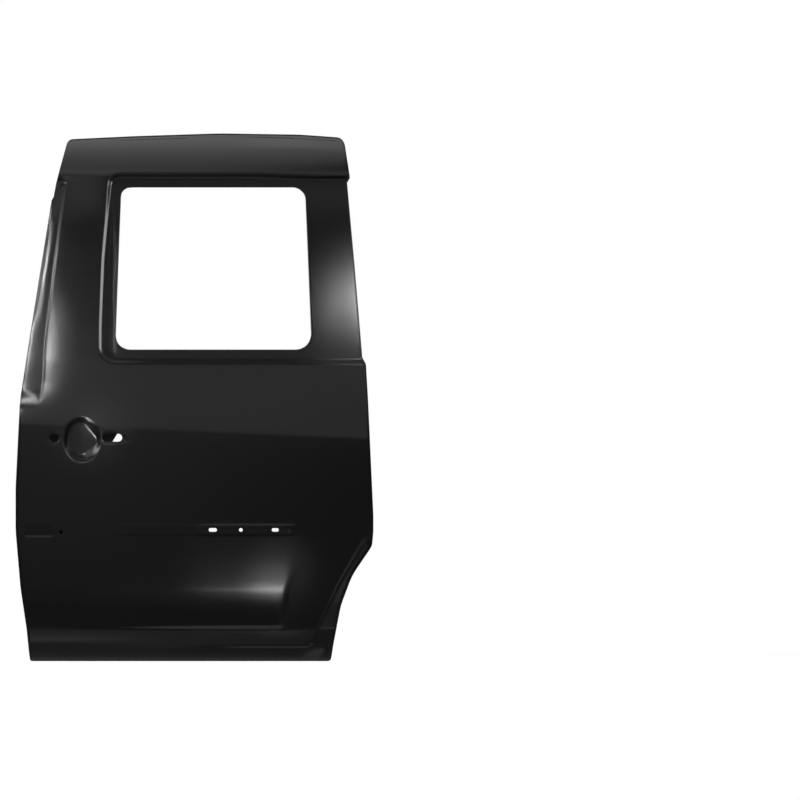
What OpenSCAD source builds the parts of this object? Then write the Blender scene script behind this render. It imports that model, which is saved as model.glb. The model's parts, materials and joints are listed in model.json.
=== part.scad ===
// Bare pressed-steel shell of a compact van's left sliding door.
// X runs rearwards from the front edge, Y into the van and Z upwards.
// Outlines are drawn as the side elevation shows them, with x and z.
// The finished door is moved so that its origin lies on the seat of the rear roller carriage.

/* [Door size] */
// Width from the front edge to the rear edge, at the widest
door_w = 880; // [820:1:960]
// Height from the bottom hem to the roof edge
door_h = 1300; // [1200:1:1400]
// Height of the header, from the roof edge down to the window recess
header_h = 114; // [106:1:120]
// Height of the belt, where the window recess ends
belt_z = 742; // [736:1:750]
// Height of the shoulder line, the widest place of the side
crease_z = 566; // [550:1:580]
// Height of the lower feature line
swage_z = 180; // [170:1:190]
// Height of the step above the sill
sill_z = 79; // [74:1:84]

/* [Side section] */
// How far the bottom hem lies inboard of the widest place
tuck_y = 28; // [20:1:34]
// How far the sill step lies inboard
sill_y = 31.6; // [28:0.2:36]
// How far the lower feature line lies inboard
swage_y = 20; // [16:1:24]
// How far the belt lies inboard
belt_y = 27; // [22:1:32]
// How far the header's lower edge lies inboard
header_y = 160; // [150:1:170]
// How far the roof edge lies inboard
roof_y = 300; // [280:1:310]
// How far the flare ahead of the wheel arch stands out
flare_d = 6; // [4:0.5:8]

/* [Sheets] */
// Thickness of the outer sheet
skin_t = 1.5; // [1.2:0.1:2]
// Thickness of the inner sheets
panel_t = 1.5; // [1.2:0.1:2]
// Thickness of the rails and plates stuck or welded to the sheets
rail_t = 1.2; // [1:0.1:1.6]
// Thickness of the plates behind the roller arms
plate_t = 3; // [2:0.5:4]
// Width of the folded hem
hem_w = 8; // [6:0.5:10]
// Width of the bead of seam sealer beside the hem
sealer_w = 4.5; // [3:0.5:5]
// Distance from the door's edge to the inner pressing's wall
wall_in = 17; // [16:0.5:20]

/* [Window] */
// Width of the front pillar, from the front edge to the window opening
front_pillar_w = 252; // [246:1:260]
// Width of the rear pillar, from the window opening to the widest place
rear_pillar_w = 156; // [150:1:164]
// Height of the window opening's sill above the belt
sill_gap = 24; // [22:1:27]
// Height from the window opening's top to the header
top_gap = 20; // [18:1:24]
// Depth of the recess that the glass is bonded into
recess_d = 9; // [6:0.5:12]
// Depth of the slim ledge on the front pillar
ledge_d = 7; // [5:0.5:9]

/* [Inner pressing] */
// Distance from the widest place inboard to the border land
land_y = 92; // [86:1:98]
// Depth of the inner window frame, from the outer sheet
frame_d = 48; // [42:1:52]
// Depth of the header box, from the outer sheet
header_d = 32; // [28:1:38]
// Width of the flange round the window opening
flange_w = 26; // [22:1:30]
// Drop from the border land to the pan floor
pan_drop = 14; // [10:1:18]
// Drop from the border land to the ledge under the service opening
shelf_drop = 26; // [22:1:30]
// Distance from the front edge to the seam between the two inner sheets
seam_x = 242; // [238:1:244]
// Width of the sloped face at the rear, below the belt
rear_slope_w = 84; // [76:1:90]
// Width of the sloped face at the front, below the belt
front_slope_w = 44; // [38:1:50]

/* [Seats of the roller arms and the lock] */
// Distance from the rear edge to the seat of the rear roller carriage
carriage_in = 83; // [80:1:86]
// Height of the seat of the rear roller carriage
carriage_z = 634; // [625:1:640]
// Distance between the rear roller carriage's two screws
carriage_pitch = 52; // [46:1:56]
// Radius of the screw holes for the carriage and the lower arm
big_hole_r = 5.2; // [4.4:0.1:6]
// Distance between the upper roller arm's two screws
upper_pitch = 64; // [56:1:70]
// Radius of the screw holes for the upper arm
upper_hole_r = 4.5; // [4:0.1:5]
// Distance between the lower roller arm's two screws
lower_pitch = 52; // [46:1:54]
// Distance between the lock's screws along the van
lock_dx = 50; // [44:1:54]
// Distance between the lock's screws up the door
lock_dz = 44; // [38:1:50]
// Radius of the lock's screw holes
lock_hole_r = 3.5; // [3:0.1:4]

/* [Handle and rub strip] */
// Distance from the front edge to the handle cup's centre
handle_x = 167; // [162:1:172]
// Height of the handle cup's centre
handle_z = 548; // [544:1:550]
// Half the handle cup's mouth
cup_r = 50; // [46:1:53]
// Depth of the handle cup
cup_d = 30; // [24:1:34]
// Radius of the hole for the handle's front pivot
pivot_r = 11; // [9:0.5:12]
// Length of the slot for the handle's rear arm
slot_l = 49; // [45:1:60]
// Height of the slot for the handle's rear arm
slot_h = 19; // [16:1:22]
// Height of the rub strip's seat, at its middle
strip_z = 322; // [315:1:330]
// Width of the rub strip's seat
strip_w = 22; // [20:1:26]
// Depth of the front part of the rub strip's seat
strip_d = 1.5; // [1:0.5:3]
// How far the rear part of the rub strip's seat stands out
strip_rise = 1.2; // [0.8:0.2:2]
// Radius of the hole for the rub strip's front clip
strip_hole_r = 4.2; // [3.4:0.2:5]

/* [Skin stiffener] */
// Length of the stiffener bar
bar_l = 420; // [380:1:440]
// Height of the stiffener bar's middle
bar_z = 248; // [244:1:254]
// Distance between the bar's two beads
bead_pitch = 26; // [24:1:30]
// Width of each bead
bead_w = 14; // [10:1:16]
// Height of each bead
bead_h = 10; // [7:0.5:12]

/* [Hidden] */

steel = [0.10, 0.10, 0.11];
nut_steel = [0.30, 0.30, 0.31];
sealer = [0.66, 0.66, 0.64];
mastic = [0.20, 0.20, 0.20];

// Most degrees that one flat of a rounded corner turns
arc_step = 12;
// Flats of a drilled hole
hole_fn = 48;
// How far the tool shapes reach past the door
reach = 100;
far_y = roof_y + reach;

// Heights and widths that follow from the sizes above
header_z = door_h - header_h;
window_z = belt_z + sill_gap;
window_top = header_z - top_gap;
window_x = front_pillar_w;
window_x1 = door_w - rear_pillar_w;
carriage_x = door_w - carriage_in;
pan_y = land_y - pan_drop;
carriage_y = land_y + 2;

// Side section: each station is a height and a distance inboard, bottom to top.
// A bow of 1 is a straight line between two stations, and a larger one bends it.
low_bow = 1.7;
belt_bow = 1.15;
header_bow = 1.55;

function mix(a, b, t) = a + (b - a) * t;

skin_line = concat(
    [[0, tuck_y], [sill_z - 49, tuck_y - 1], [sill_z - 13, sill_y - 1.2], [sill_z + 1, sill_y]],
    [for (t = [0.3, 0.65]) [mix(sill_z, swage_z, t), mix(sill_y, swage_y, t) - 1.5]],
    [for (t = [0:1/6:0.99]) [mix(swage_z, crease_z, t), swage_y * pow(1 - t, low_bow)]],
    [for (t = [0:1/4:0.99]) [mix(crease_z, belt_z, t), belt_y * pow(t, belt_bow)]],
    [for (t = [0:1/6:0.99]) [mix(belt_z, header_z, t), mix(belt_y, header_y, t * (0.8 + 0.2 * t))]],
    [for (t = [0:1/6:1]) [mix(header_z, door_h, t), mix(header_y, roof_y, pow(t, header_bow))]]
);
function skin_y(z) = lookup(z, skin_line);

// How many times thicker a sheet is along Y than square to its face, at height z
function slant(z) =
    let (
        top = min(z + 8, door_h),
        bottom = max(z - 8, 0),
        slope = (skin_y(top) - skin_y(bottom)) / (top - bottom)
    ) sqrt(1 + slope * slope);
function depth_y(z, d) = skin_y(z) + d * slant(z);

// The border land of the inner pressing, as heights and distances inboard
land_low_z = 102;
land_line = concat(
    [[0, land_y - 32], [14, land_y - 30], [land_low_z, land_y], [belt_z - 40, land_y]],
    [for (s = skin_line) if (s[0] > belt_z - 20)
        [s[0], depth_y(s[0], s[0] > header_z - 30 ? header_d : frame_d)]]
);
function land(z) = lookup(z, land_line);

// Corners of an outline are [x, z, radius], counter-clockwise in the side elevation.
function wrap(i, n) = (i + n) % n;
function unit(v) = v / norm(v);
function heading(a, b) = unit([b[0] - a[0], b[1] - a[1]]);
function side(d) = [-d[1], d[0]];

// Moves every edge of an outline inwards by d and keeps its corners concentric
function inset(path, d) = let (n = len(path)) [
    for (i = [0:n - 1]) let (
        a = heading(path[wrap(i - 1, n)], path[i]),
        b = heading(path[i], path[wrap(i + 1, n)]),
        turn = a[0] * b[1] - a[1] * b[0],
        shift = (side(a) + side(b)) * d / (1 + a * b),
        r = path[i][2] == 0 ? 0 : max(path[i][2] + (turn > 0 ? -d : d), 0)
    ) [path[i][0] + shift[0], path[i][1] + shift[1], r]
];
function outset(path, d) = inset(path, -d);

// Points of an outline with its corners rounded
function rounded(path) = let (n = len(path)) [
    for (i = [0:n - 1]) let (
        p = [path[i][0], path[i][1]],
        a = heading(path[wrap(i - 1, n)], path[i]),
        b = heading(path[i], path[wrap(i + 1, n)]),
        angle = atan2(a[0] * b[1] - a[1] * b[0], a * b),
        r = path[i][2],
        cut = r * tan(abs(angle) / 2),
        flats = r > 0 ? max(1, ceil(abs(angle) / arc_step)) : 0,
        centre = p - a * cut + side(a) * r * sign(angle)
    ) for (k = [0:flats]) flats == 0 ? p : let (w = angle * k / flats)
        centre - sign(angle) * r * [cos(w) * side(a)[0] - sin(w) * side(a)[1],
                                    sin(w) * side(a)[0] + cos(w) * side(a)[1]]
];

function box_path(x0, z0, x1, z1, r) = [[x0, z0, r], [x1, z0, r], [x1, z1, r], [x0, z1, r]];
function slot_path(x, z, l, h) = box_path(x - l / 2, z - h / 2, x + l / 2, z + h / 2, h / 2 - 0.1);

// Outline of the door, from the bottom front corner round to the front edge
door_path = [
    [35, 0, 6], [door_w - 104, 0, 8], [door_w - 99, 37, 100], [door_w - 80, 137, 150],
    [door_w - 52, 212, 150], [door_w - 3, 284, 18], [door_w, 320, 60], [door_w, 358, 150],
    [door_w - 13, 642, 150], [door_w - 18, belt_z - 12, 14], [door_w - 27, belt_z + 4, 5],
    [door_w - 46, mix(belt_z, header_z, 0.52), 300], [door_w - 64, header_z - 9, 4],
    [door_w - 57, header_z + 4, 4], [door_w - 70, door_h - 11, 18], [door_w - 180, door_h - 3, 300],
    [500, door_h, 600], [290, door_h - 7, 300], [124, door_h - 15, 16], [98, header_z - 16, 20],
    [92, header_z - 50, 3], [88, header_z - 52, 3], [49, mix(belt_z, header_z, 0.33), 300],
    [10.6, 642, 300], [0, 427, 300], [0, 321, 200], [12, swage_z, 200], [27, sill_z, 40]
];

window_path = [
    [window_x - 7, window_z, 37], [window_x1 + 4, window_z, 40],
    [window_x1 - 12, window_top, 30], [window_x + 8, window_top, 22]
];

// Recess for the bonded glass, open over the rear edge
recess_path = [
    [window_x - 45, belt_z - 6, 40], [door_w + reach, belt_z - 6, 0],
    [door_w + reach, header_z + 4, 0], [window_x - 17, header_z + 6, 26]
];

// Slim ledge up the front pillar, open over the front edge
ledge_path = [
    [-reach, 622, 0], [48, 631, 14], [69, 680, 40], [76, belt_z + 48, 200],
    [101, mix(belt_z, header_z, 0.55), 300], [120, header_z - 36, 100], [124, header_z - 2, 8],
    [-reach, header_z - 2, 0]
];

// Pocket at the front edge of the header
pocket_path = box_path(-reach, header_z - 17, 118, header_z + 4, 5);

// Band along the sill and the wheel arch
arch_path = [
    [door_w - 330, -reach, 0], [door_w + reach, -reach, 0], [door_w + reach, 296, 0],
    [door_w - 22, 296, 6], [door_w - 84, 190, 150], [door_w - 128, 99, 120],
    [door_w - 152, 34, 24], [door_w - 330, 32, 4]
];
arch_d = 3;

// Seat of the rub strip: a short sunk stretch at the front and a long raised one behind
strip_front = box_path(28, strip_z - strip_w / 2, 122, strip_z + strip_w / 2, 5);
strip_rear = box_path(door_w - 410, strip_z - strip_w / 2, door_w - 198, strip_z + strip_w / 2, 5);
strip_hole = [112, strip_z - 5];

// The lower side flares out ahead of the wheel arch, under the lower feature line
flare_path = [
    [330, sill_z + 10, 30], [door_w - 236, sill_z + 10, 14], [door_w - 213, swage_z + 22, 14],
    [330, swage_z + 22, 50]
];

// Recesses of the outer pressing, each with its depth
SKIN_ZONES = [
    [recess_path, recess_d], [ledge_path, ledge_d], [pocket_path, ledge_d + 3], [arch_path, arch_d],
    [strip_front, strip_d]
];
// Raised parts of the outer pressing, each with its rise
RAISED_ZONES = [[strip_rear, strip_rise], [flare_path, flare_d]];

pivot_hole = [handle_x - 71, handle_z];
handle_slot = slot_path(handle_x + 70.5, handle_z + 1.5, slot_l, slot_h);
// Slots for the rub strip's clips: distance from the rear edge, length and height
strip_slots = [for (s = [[395, 20, 12], [326, 10, 15], [242, 17, 10]])
    slot_path(door_w - s[0], strip_z + 1, s[1], min(s[2], s[1]))];

// How much wider the second sheet's holes are, so that only the outer sheet guides the handle
second_gap = 2;

// Seat of the rear roller carriage, a flat pad just proud of the land
carriage_path = box_path(carriage_x - 44, carriage_z - 28, carriage_x + 40, carriage_z + 28, 24);
upper_path = box_path(141, door_h - 94, 237, door_h - 45, 10);
upper_y = land(door_h - 70);
lower_path = box_path(44, 30, 126, 84, 10);
lower_y = land_y - 12;
// Flat seats pressed into the inner sheet: outline, and distance inboard
SEATS = [[carriage_path, carriage_y], [upper_path, upper_y], [lower_path, lower_y]];

pan_path = [
    [116, land_low_z + 4, 30], [door_w - 240, land_low_z + 12, 40], [door_w - 180, 200, 60],
    [door_w - 140, 250, 40], [door_w - 134, crease_z, 80], [door_w - 134, belt_z - 92, 20],
    [70, belt_z - 92, 20], [66, 158, 40]
];

// Ledge under the service opening, with its zigzag lower edge
shelf_z = 130;
shelf_path = [
    [79, 274, 8], [118, 162, 30], [142, shelf_z, 10], [164, shelf_z, 10], [262, shelf_z + 50, 8],
    [380, shelf_z, 10], [400, shelf_z, 10], [501, shelf_z + 50, 8], [door_w - 272, shelf_z - 5, 10],
    [door_w - 252, shelf_z, 10], [door_w - 232, 172, 30], [door_w - 166, 256, 8],
    [door_w - 200, 310, 0], [126, 310, 0]
];
// Long shallow bead below the ledge
bead_path = box_path(172, 34, door_w - 200, 64, 12);
// Shallow pad below the pillar slot
pillar_pad = [[92, belt_z - 18, 6], [176, belt_z - 18, 6], [170, belt_z + 78, 6], [98, belt_z + 78, 6]];

// Recesses of the inner pressing, each with its drop from the land
INNER_ZONES = [
    [pan_path, pan_drop], [shelf_path, shelf_drop], [bead_path, 5], [pillar_pad, 5],
    [outset(window_path, flange_w + 18), 12]
];

service_path = [
    [153, 188, 10], [door_w - 240, 188, 10], [door_w - 203, 245, 20], [door_w - 191, 320, 30],
    [door_w - 174, 405, 20], [door_w - 184, 475, 20], [door_w - 220, 512, 12],
    [door_w - 224, belt_z - 110, 16], [280, belt_z - 110, 20], [258, 572, 12], [233, 531, 12],
    [210, 403, 8], [172, 400, 10], [160, 366, 12], [121, 315, 12], [114, 250, 20], [133, 207, 16]
];
pillar_slot = [[133, belt_z + 74, 10], [218, belt_z + 70, 10], [212, belt_z + 236, 24], [138, belt_z + 242, 10]];

carriage_holes = [for (i = [-1, 1]) [carriage_x + i * carriage_pitch / 2, carriage_z]];
upper_holes = [for (i = [-1, 1]) [189 + i * upper_pitch / 2, door_h - 70]];
lower_holes = [for (i = [-1, 1]) [85 + i * lower_pitch / 2, 57]];
lock_x = 135;
lock_z = 463;
lock_holes = [for (i = [-1, 1], k = [-1, 1]) [lock_x + i * lock_dx / 2, lock_z + k * lock_dz / 2]];
lock_path = box_path(lock_x - 38, lock_z - 36, lock_x + 66, lock_z + 36, 10);
lock_slot = slot_path(lock_x + 48, lock_z - 7, 20, 12);
carriage_slot = slot_path(carriage_x + 6, carriage_z + 44, 40, 26);
shelf_slots = [for (x = [249, 501]) slot_path(x, shelf_z + 21, 28, 11)];

shelf_nut_places = [[153, shelf_z + 16], [390, shelf_z + 16], [door_w - 262, shelf_z + 14]];
pan_nut_places = [[84, 330], [84, 400], [door_w - 146, 428], [door_w - 146, 300]];
bracket_places = [for (x = [284, 479, door_w - 221]) [x, belt_z - 66]];
buffer_place = [door_w - 137, land_low_z + 2];
drain_places = [[door_w - 142, crease_z + 28], [door_w - 134, 369]];

// Solid through the door in the shape of an outline
module through(path) {
    translate([0, far_y, 0])
        rotate([90, 0, 0])
            linear_extrude(far_y + reach)
                polygon(rounded(path));
}

// Round hole or pin through the door at each place
module drilled(places, r) {
    for (p = places)
        translate([p[0], -reach, p[1]])
            rotate([-90, 0, 0])
                cylinder(r = r, h = far_y + reach, $fn = hole_fn);
}

// Solid between two distances inboard, over the whole door
module between(y0, y1) {
    translate([-reach, y0, -reach])
        cube([door_w + 2 * reach, y1 - y0, door_h + 2 * reach]);
}

// Solid in the shape of a closed section of [y, z] points, along the whole width
module along_door(section) {
    translate([-reach, 0, 0])
        rotate([90, 0, 90])
            linear_extrude(door_w + 2 * reach)
                polygon(section);
}

// Everything outboard of the outer face when that is moved inboard by d
module outboard_of_skin(d) {
    along_door(concat(
        [[-reach, door_h + 1], [-reach, -1], [depth_y(0, d), -1]],
        [for (s = skin_line) [depth_y(s[0], d), s[0]]],
        [[depth_y(door_h, d), door_h + 1]]
    ));
}

// The same, with the recesses and the handle cup of the outer pressing
module recessed_to(d) {
    outboard_of_skin(d);
    for (zone = SKIN_ZONES)
        intersection() {
            outboard_of_skin(d + zone[1]);
            through(outset(zone[0], d));
        }
    ball_r = (cup_r * cup_r + cup_d * cup_d) / (2 * cup_d);
    translate([handle_x, cup_d - ball_r, handle_z])
        sphere(ball_r + d, $fn = 96);
}

// The same, with the raised parts too
module pressed_to(d) {
    difference() {
        recessed_to(d);
        for (zone = RAISED_ZONES)
            difference() {
                through(inset(zone[0], d));
                outboard_of_skin(d - zone[1]);
            }
    }
}

// Sheet that follows the outer pressing, from depth d0 to depth d1
module sheet(d0, d1) {
    difference() {
        pressed_to(d1);
        pressed_to(d0);
    }
}

// Everything outboard of the border land when that is moved outboard by s
module outboard_of_land(s) {
    along_door(concat(
        [[-reach, door_h + 1], [-reach, -1], [land(0) - s, -1]],
        [for (p = land_line) [p[1] - s * slant(p[0]), p[0]]],
        [[land(door_h) - s * slant(door_h), door_h + 1]]
    ));
}

// Everything inboard of the border land when that is moved inboard by d
module inboard_of_land(d) {
    along_door(concat(
        [[far_y, -1], [far_y, door_h + 1]],
        [for (i = [len(land_line) - 1:-1:0]) [land_line[i][1] + d, land_line[i][0]]],
        [[land(0) + d, -1]]
    ));
}

// Space that the two slopes below the belt take from the inner pressing
module slopes(s) {
    rear_turn = atan2(rear_slope_w - wall_in, land_y - 12);
    front_turn = atan2(front_slope_w - wall_in, land_y - 12);
    translate([door_w - rear_slope_w, land_y, -1])
        rotate([0, 0, rear_turn])
            translate([-s, -200, 0])
                cube([200, 400, belt_z - 12]);
    translate([front_slope_w, land_y, -1])
        rotate([0, 0, -front_turn])
            translate([s - 200, -200, 0])
                cube([200, 400, belt_z - 12]);
}

// Space inside the inner pressing, shrunk by s on every side
module tub(s) {
    difference() {
        union() {
            difference() {
                intersection() {
                    through(inset(door_path, wall_in + s));
                    outboard_of_land(s);
                }
                slopes(s);
            }
            for (seat = SEATS)
                intersection() {
                    through(inset(seat[0], s));
                    between(-reach, seat[1] - s);
                }
        }
        for (seat = SEATS)
            intersection() {
                through(outset(seat[0], s));
                between(seat[1] - s, far_y);
            }
        for (zone = INNER_ZONES)
            intersection() {
                through(outset(zone[0], s));
                inboard_of_land(-zone[1] - s);
            }
        through(outset(window_path, flange_w + s));
    }
}

// Nuts welded at each place behind a face at y
module nuts(places, y, thick, across, bore) {
    for (p = places)
        translate([p[0], y - thick, p[1]])
            rotate([-90, 0, 0])
                difference() {
                    cylinder(d = across, h = thick, $fn = 6);
                    translate([0, 0, -1])
                        cylinder(r = bore, h = thick + 2, $fn = hole_fn);
                }
}

// Round collars on the inner pressing, where it is dropped below the land
module collars(places, r, bore, drop, high) {
    difference() {
        intersection() {
            drilled(places, r);
            inboard_of_land(-drop);
        }
        inboard_of_land(high - drop);
        drilled(places, bore);
    }
}

// Plate welded behind a flat seat, with its screw holes
module seat_plate(path, y, thick, places, r) {
    difference() {
        intersection() {
            through(inset(path, panel_t + 2));
            between(y - panel_t - thick, y - panel_t);
        }
        drilled(places, r);
    }
}

module outer_skin() {
    color(steel) {
        difference() {
            intersection() {
                sheet(0, skin_t);
                through(door_path);
            }
            through(window_path);
            drilled([pivot_hole], pivot_r);
            drilled([strip_hole], strip_hole_r);
            through(handle_slot);
            for (slot = strip_slots) through(slot);
        }
        hem();
    }
}

// Edge of the outer sheet, folded round the inner pressing
module hem() {
    difference() {
        intersection() {
            sheet(skin_t, 2 * skin_t + panel_t);
            through(door_path);
        }
        through(inset(door_path, skin_t));
    }
    difference() {
        intersection() {
            sheet(skin_t + panel_t, 2 * skin_t + panel_t);
            through(inset(door_path, skin_t));
        }
        through(inset(door_path, hem_w));
    }
}

// Both inner sheets as one pressing
module inner_pressing() {
    difference() {
        tub(0);
        tub(panel_t);
        pressed_to(skin_t);
        through(service_path);
        through(pillar_slot);
        through(lock_slot);
        through(carriage_slot);
        for (slot = shelf_slots) through(slot);
        drilled(carriage_holes, big_hole_r);
        drilled(upper_holes, upper_hole_r);
        drilled(lower_holes, big_hole_r);
        drilled(lock_holes, lock_hole_r);
        drilled([buffer_place], 8);
        drilled(drain_places, 6);
    }
    // Flange in the hem
    difference() {
        intersection() {
            sheet(skin_t, skin_t + panel_t);
            through(inset(door_path, skin_t));
        }
        through(inset(door_path, wall_in + panel_t));
    }
    // Flange round the window
    difference() {
        intersection() {
            sheet(skin_t, skin_t + panel_t);
            through(outset(window_path, flange_w + panel_t));
        }
        through(window_path);
    }
}

// The part of the door ahead of the weld seam between the two inner sheets
module ahead_of_seam() {
    translate([-reach, -reach, -reach])
        cube([reach + seam_x, far_y + reach, door_h + 2 * reach]);
}

module inner_panel() {
    color(steel)
        difference() {
            inner_pressing();
            ahead_of_seam();
        }
}

module front_inner_panel() {
    color(steel)
        intersection() {
            inner_pressing();
            ahead_of_seam();
        }
}

// Hat-shaped rail behind the skin, above the service opening
rail_d = 28;
rail_lip = 12;
module belt_rail() {
    x0 = 90;
    x1 = door_w - 90;
    z0 = belt_z - 110;
    z1 = belt_z - 14;
    color(steel)
        difference() {
            union() {
                intersection() {
                    outboard_of_skin(rail_d);
                    through(box_path(x0, z0, x1, z1, 0));
                }
                intersection() {
                    outboard_of_skin(skin_t + rail_t);
                    through(box_path(x0, z0 - rail_lip, x1, z1, 0));
                }
            }
            intersection() {
                outboard_of_skin(rail_d - rail_t);
                through(box_path(x0 - 1, z0 + rail_t, x1 + 1, z1 - rail_t, 0));
            }
            outboard_of_skin(skin_t);
        }
}

// Flat bar with two hollow beads, stuck to the inside of the skin
bar_x = 400;
bar_ends = 12;
bead_paths = [for (i = [-1, 1]) box_path(
    bar_x - bar_l / 2 + bar_ends, bar_z + i * bead_pitch / 2 - bead_w / 2,
    bar_x + bar_l / 2 - bar_ends, bar_z + i * bead_pitch / 2 + bead_w / 2, bead_w / 2 - 2)];
module skin_stiffener() {
    half_h = bead_pitch / 2 + bead_w / 2 + 6;
    color(steel)
        difference() {
            union() {
                intersection() {
                    outboard_of_skin(skin_t + rail_t);
                    through(box_path(bar_x - bar_l / 2, bar_z - half_h, bar_x + bar_l / 2, bar_z + half_h, 6));
                }
                for (bead = bead_paths)
                    intersection() {
                        outboard_of_skin(skin_t + bead_h);
                        through(bead);
                    }
            }
            for (bead = bead_paths)
                intersection() {
                    outboard_of_skin(skin_t + bead_h - rail_t);
                    through(inset(bead, rail_t));
                }
            outboard_of_skin(skin_t);
        }
}

// Pads of mastic at the stiffener's ends
module mastic_pads() {
    places = [for (i = [-1, 1], k = [-1, 1]) [bar_x + i * (bar_l / 2 + 10), bar_z + k * bead_pitch / 2]];
    color(mastic)
        difference() {
            intersection() {
                outboard_of_skin(skin_t + 5);
                drilled(places, 7);
            }
            outboard_of_skin(skin_t);
        }
}

// Second sheet behind the handle cup
module handle_reinforcement() {
    color(steel)
        difference() {
            intersection() {
                sheet(skin_t, skin_t + rail_t);
                through(box_path(handle_x - 85, handle_z - 62, handle_x + 123, handle_z + 62, 20));
            }
            drilled([pivot_hole], pivot_r + second_gap);
            through(outset(handle_slot, second_gap));
        }
}

module latch_plate() {
    color(steel)
        difference() {
            seat_plate(lock_path, pan_y, 2, lock_holes, lock_hole_r);
            through(lock_slot);
        }
}

module latch_nuts() {
    color(nut_steel) nuts(lock_holes, pan_y - panel_t - 2, 5, 12, lock_hole_r);
}

module carriage_plate() {
    color(steel) seat_plate(carriage_path, carriage_y, plate_t, carriage_holes, big_hole_r);
}

module carriage_nuts() {
    color(nut_steel) nuts(carriage_holes, carriage_y - panel_t - plate_t, 8, 18, big_hole_r);
}

module upper_arm_plate() {
    color(steel) seat_plate(upper_path, upper_y, plate_t, upper_holes, upper_hole_r);
}

module upper_arm_nuts() {
    color(nut_steel) nuts(upper_holes, upper_y - panel_t - plate_t, 7, 15, upper_hole_r);
}

module lower_arm_plate() {
    color(steel) seat_plate(lower_path, lower_y, plate_t, lower_holes, big_hole_r);
}

module lower_arm_nuts() {
    color(nut_steel) nuts(lower_holes, lower_y - panel_t - plate_t, 8, 18, big_hole_r);
}

module ledge_nuts() {
    color(nut_steel) collars(shelf_nut_places, 8, 3, shelf_drop, 4);
}

module pan_nuts() {
    color(nut_steel) collars(pan_nut_places, 7, 3, pan_drop, 4);
}

module belt_brackets() {
    color(steel)
        for (p = bracket_places)
            difference() {
                intersection() {
                    through(box_path(p[0] - 13, p[1] - 12, p[0] + 13, p[1] + 12, 4));
                    inboard_of_land(0);
                }
                inboard_of_land(4);
                drilled([p], 4);
            }
}

module buffer_cup() {
    color(steel) collars([buffer_place], 17, 8, 0, plate_t);
}

// Bead of seam sealer in the corner between the hem and the inner pressing
module sealer_bead() {
    color(sealer)
        difference() {
            intersection() {
                sheet(skin_t + panel_t, 2 * skin_t + panel_t + 0.5);
                through(inset(door_path, hem_w));
            }
            through(inset(door_path, hem_w + sealer_w));
        }
}

// The stretch of the bead inside a rectangle of the side elevation
module sealer_part(x0, z0, x1, z1) {
    intersection() {
        sealer_bead();
        through(box_path(x0, z0, x1, z1, 0));
    }
}
seal_low = sill_z - 19;
seal_high = door_h - 70;

module hem_sealer_front() {
    sealer_part(-reach, seal_low, door_w / 2, seal_high);
}

module hem_sealer_rear() {
    sealer_part(door_w / 2, seal_low, door_w + reach, seal_high);
}

module hem_sealer_top() {
    sealer_part(-reach, seal_high, door_w + reach, door_h + reach);
}

module hem_sealer_bottom() {
    sealer_part(-reach, -reach, door_w + reach, seal_low);
}

module set_in_place() {
    translate([-carriage_x, -carriage_y, -carriage_z])
        children();
}

set_in_place() {
    outer_skin();
    inner_panel();
    front_inner_panel();
    belt_rail();
    skin_stiffener();
    mastic_pads();
    handle_reinforcement();
    latch_plate();
    latch_nuts();
    carriage_plate();
    carriage_nuts();
    upper_arm_plate();
    upper_arm_nuts();
    lower_arm_plate();
    lower_arm_nuts();
    ledge_nuts();
    pan_nuts();
    belt_brackets();
    buffer_cup();
    hem_sealer_front();
    hem_sealer_rear();
    hem_sealer_top();
    hem_sealer_bottom();
}
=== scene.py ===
# %% [markdown]
# # The bare shell of a van's left sliding door
# Before it is painted and fitted out, such a door is an outer pressing and two inner pressings of
# thin steel, folded together round the edge, with a few plates and nuts between them. It leaves
# the works in a satin black primer, with a pale bead of sealer where the edge is folded.
#
# The large pressings are what the eye follows here: their soft steps and rounded walls catch the
# light. So each is made in the way a press makes it. A flat grid is pushed into shape by a few
# simple rules, trimmed to its outline and given its thickness.

# %% The frame and its measures
import json
import math

import bmesh
import bpy
import numpy as np
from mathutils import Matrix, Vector


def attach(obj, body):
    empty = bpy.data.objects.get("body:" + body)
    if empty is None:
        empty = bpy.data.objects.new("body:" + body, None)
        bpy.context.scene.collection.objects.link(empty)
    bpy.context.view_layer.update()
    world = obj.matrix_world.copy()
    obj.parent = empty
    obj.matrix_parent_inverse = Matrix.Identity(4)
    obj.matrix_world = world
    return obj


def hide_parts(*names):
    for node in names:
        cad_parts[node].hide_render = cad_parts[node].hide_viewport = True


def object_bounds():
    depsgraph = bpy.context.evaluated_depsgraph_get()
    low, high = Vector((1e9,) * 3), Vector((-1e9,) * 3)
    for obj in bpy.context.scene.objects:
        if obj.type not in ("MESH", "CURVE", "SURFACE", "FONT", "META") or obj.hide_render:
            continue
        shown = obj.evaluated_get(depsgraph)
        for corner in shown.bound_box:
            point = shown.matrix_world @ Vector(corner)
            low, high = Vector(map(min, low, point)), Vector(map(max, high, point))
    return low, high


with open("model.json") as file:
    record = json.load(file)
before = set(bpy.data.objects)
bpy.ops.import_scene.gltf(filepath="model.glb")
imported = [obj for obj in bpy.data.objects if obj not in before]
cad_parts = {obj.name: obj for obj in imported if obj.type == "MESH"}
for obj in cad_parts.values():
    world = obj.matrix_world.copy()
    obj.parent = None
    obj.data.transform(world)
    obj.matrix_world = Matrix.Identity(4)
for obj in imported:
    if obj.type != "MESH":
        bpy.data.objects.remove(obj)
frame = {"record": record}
cad_low, cad_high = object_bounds()

MM = 0.001
door_w = (cad_high.x - cad_low.x) / MM
door_h = (cad_high.z - cad_low.z) / MM
shift = np.array(cad_low) / MM
print(f"The door is {door_w:.0f} mm wide and {door_h:.0f} mm tall")

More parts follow.
